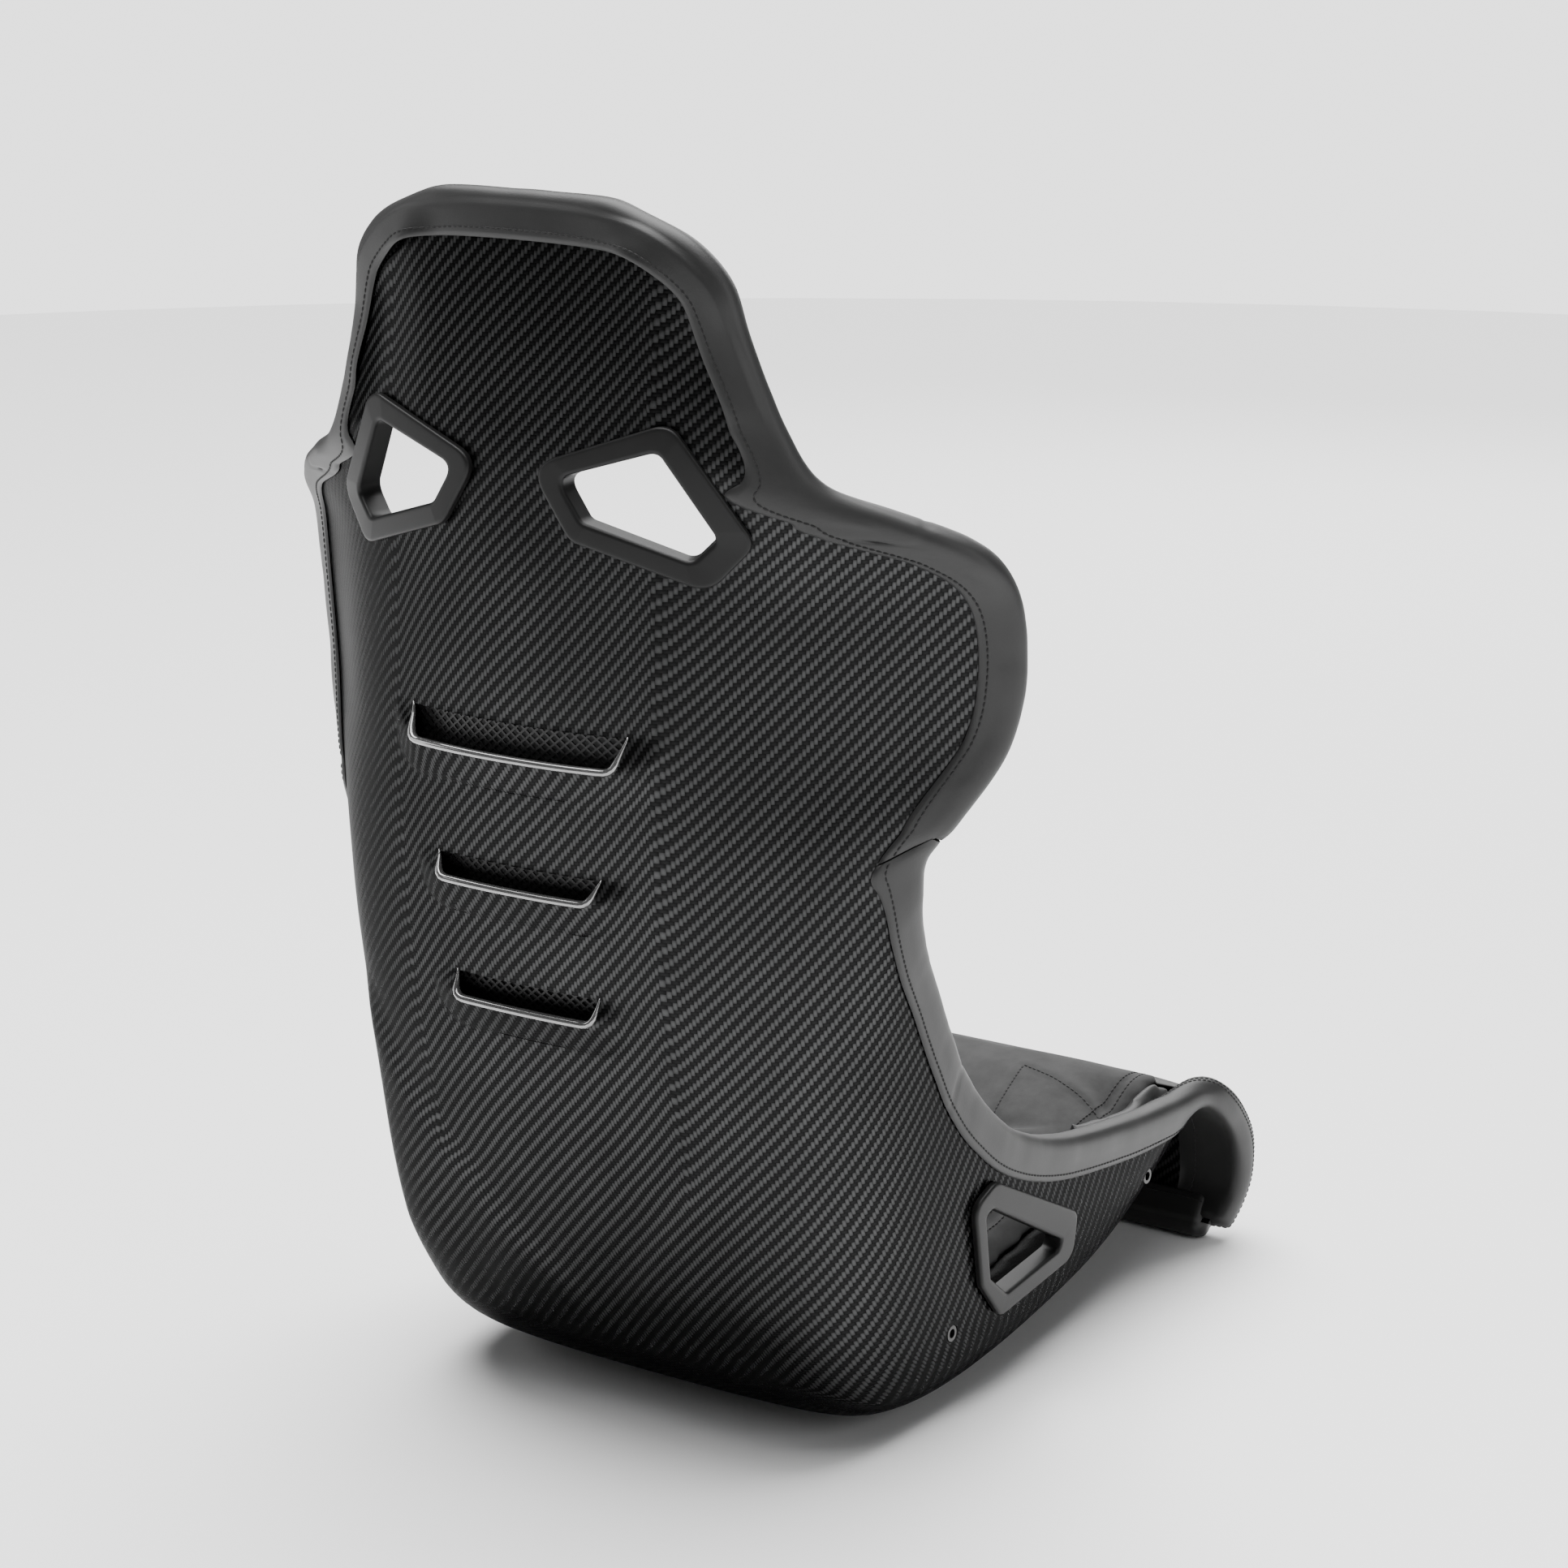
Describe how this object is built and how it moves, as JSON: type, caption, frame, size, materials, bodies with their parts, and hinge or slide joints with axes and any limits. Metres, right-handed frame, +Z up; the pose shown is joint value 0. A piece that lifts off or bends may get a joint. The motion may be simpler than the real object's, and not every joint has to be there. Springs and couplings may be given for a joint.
{
  "type": "fixed-back racing seat",
  "caption": "Fixed-back bucket seat: carbon shell with shoulder wings, leather edge roll, suede pads, belt slots in moulded bezels, vents up the back and side inserts.",
  "frame": {"origin": "on the floor under the middle of the seat's bounding box", "axes": "+Z up; the seat's front faces -Y, its back +Y; +X is the occupant's left"},
  "size_m": [0.5914, 0.6959, 0.882],
  "materials": {
    "carbon": "gloss",
    "leather": "satin",
    "moulded_plastic": "satin",
    "vent_mesh": "satin",
    "insert_steel": "satin",
    "suede": "matte",
    "riser_foam": "matte",
    "hook_loop": "matte"
  },
  "bodies": {
    "root": {"carbon_shell": "carbon", "edge_trim_upper": "leather", "edge_trim_lower_left": "leather", "edge_trim_lower_right": "leather", "edge_trim_nose": "leather", "shoulder_bezel_rear_left": "moulded_plastic", "shoulder_bezel_rear_right": "moulded_plastic", "shoulder_bezel_front_left": "moulded_plastic", "shoulder_bezel_front_right": "moulded_plastic", "lap_bezel_outer_left": "moulded_plastic", "lap_bezel_outer_right": "moulded_plastic", "lap_bezel_inner_left": "moulded_plastic", "lap_bezel_inner_right": "moulded_plastic", "crotch_bezel_under": "moulded_plastic", "crotch_bezel_top": "moulded_plastic", "vent_mesh_upper": "vent_mesh", "vent_mesh_middle": "vent_mesh", "vent_mesh_lower": "vent_mesh", "vent_lip_upper": "carbon", "vent_lip_middle": "carbon", "vent_lip_lower": "carbon", "insert_bosses": "carbon", "threaded_inserts": "insert_steel", "head_pad": "suede", "back_pad": "suede", "lumbar_pad": "suede", "wing_bolster_left": "leather", "wing_bolster_right": "leather", "hip_bolster_left": "leather", "hip_bolster_right": "leather", "thigh_bolster_left": "leather", "thigh_bolster_right": "leather", "nose_pad": "leather", "seat_cushion": "suede", "thigh_riser": "riser_foam", "hook_loop_patches": "hook_loop"}
  },
  "joints": []
}
